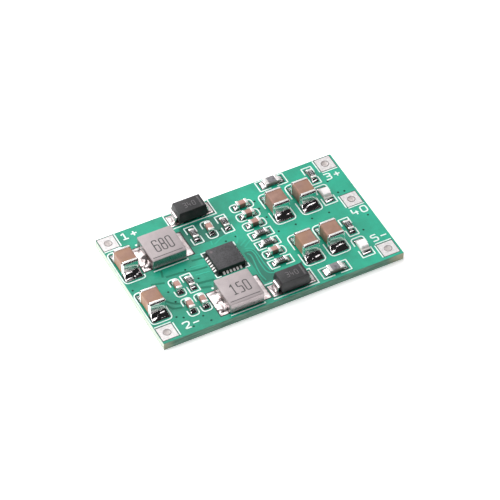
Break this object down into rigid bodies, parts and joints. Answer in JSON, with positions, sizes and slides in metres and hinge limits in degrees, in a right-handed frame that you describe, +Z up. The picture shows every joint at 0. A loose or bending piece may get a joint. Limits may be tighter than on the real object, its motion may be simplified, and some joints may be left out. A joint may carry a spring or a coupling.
{
  "type": "dc-dc converter module",
  "caption": "Bare circuit module with moulded inductors, ceramic capacitors, diodes and a leadless controller on a green board, wired at plated holes along its ends.",
  "frame": {"origin": "centre of the board's underside", "axes": "+X along the board from the input end to the output end, +Y across the board, +Z up out of the populated face"},
  "size_m": [0.036, 0.021, 0.0035],
  "materials": {
    "laminate": "green solder mask over glass laminate, satin gloss",
    "white_ink": "matt white printed ink",
    "tinned_land": "levelled tin, soft mirror",
    "solder": "bright solder",
    "pressed_powder": "matt pressed metal powder, light warm grey",
    "tinned_strip": "tinned copper strip",
    "moulded_epoxy": "fine matt black mould compound",
    "controller_epoxy": "fine matt dark grey mould compound",
    "dipped_metal": "plated tin",
    "large_dielectric": "satin fired brown ceramic",
    "small_dielectric": "satin fired pinkish brown ceramic",
    "black_glass": "glossy black glass coat",
    "alumina": "matt white alumina",
    "light_base": "matt white laminate",
    "light_lens": "milky moulded resin"
  },
  "bodies": {
    "root": {"board": "laminate", "capacitor_solder": "solder", "controller_body": "controller_epoxy", "controller_lead_frame": "tinned_strip", "controller_solder": "solder", "diode_1_body": "moulded_epoxy", "diode_1_leads": "tinned_strip", "diode_2_body": "moulded_epoxy", "diode_2_leads": "tinned_strip", "indicator_light_1_base": "light_base", "indicator_light_1_lens": "light_lens", "indicator_light_2_base": "light_base", "indicator_light_2_lens": "light_lens", "inductor_1_core": "pressed_powder", "inductor_1_strips": "tinned_strip", "inductor_2_core": "pressed_powder", "inductor_2_strips": "tinned_strip", "input_capacitor_1_ceramic": "large_dielectric", "input_capacitor_1_ends": "dipped_metal", "input_capacitor_2_ceramic": "large_dielectric", "input_capacitor_2_ends": "dipped_metal", "input_return_terminal": "tinned_land", "input_terminal": "tinned_land", "medium_resistor_1_chip": "alumina", "medium_resistor_2_chip": "alumina", "negative_capacitor_1_ceramic": "large_dielectric", "negative_capacitor_1_ends": "dipped_metal", "negative_capacitor_2_ceramic": "large_dielectric", "negative_capacitor_2_ends": "dipped_metal", "negative_output_terminal": "tinned_land", "output_return_terminal": "tinned_land", "positive_capacitor_1_ceramic": "large_dielectric", "positive_capacitor_1_ends": "dipped_metal", "positive_capacitor_2_ceramic": "large_dielectric", "positive_capacitor_2_ends": "dipped_metal", "positive_output_terminal": "tinned_land", "power_solder": "solder", "printed_outlines": "white_ink", "resistor_coats": "black_glass", "resistor_ends": "dipped_metal", "small_capacitor_1_ceramic": "small_dielectric", "small_capacitor_2_ceramic": "small_dielectric", "small_capacitor_3_ceramic": "small_dielectric", "small_capacitor_4_ceramic": "small_dielectric", "small_capacitor_5_ceramic": "small_dielectric", "small_capacitor_6_ceramic": "small_dielectric", "small_capacitor_7_ceramic": "small_dielectric", "small_capacitor_8_ceramic": "small_dielectric", "small_capacitor_ends": "dipped_metal", "small_resistor_1_chip": "alumina", "small_resistor_2_chip": "alumina", "small_resistor_3_chip": "alumina", "small_resistor_4_chip": "alumina", "small_resistor_5_chip": "alumina", "small_resistor_6_chip": "alumina", "small_resistor_7_chip": "alumina", "small_resistor_8_chip": "alumina", "small_solder": "solder"}
  },
  "joints": []
}
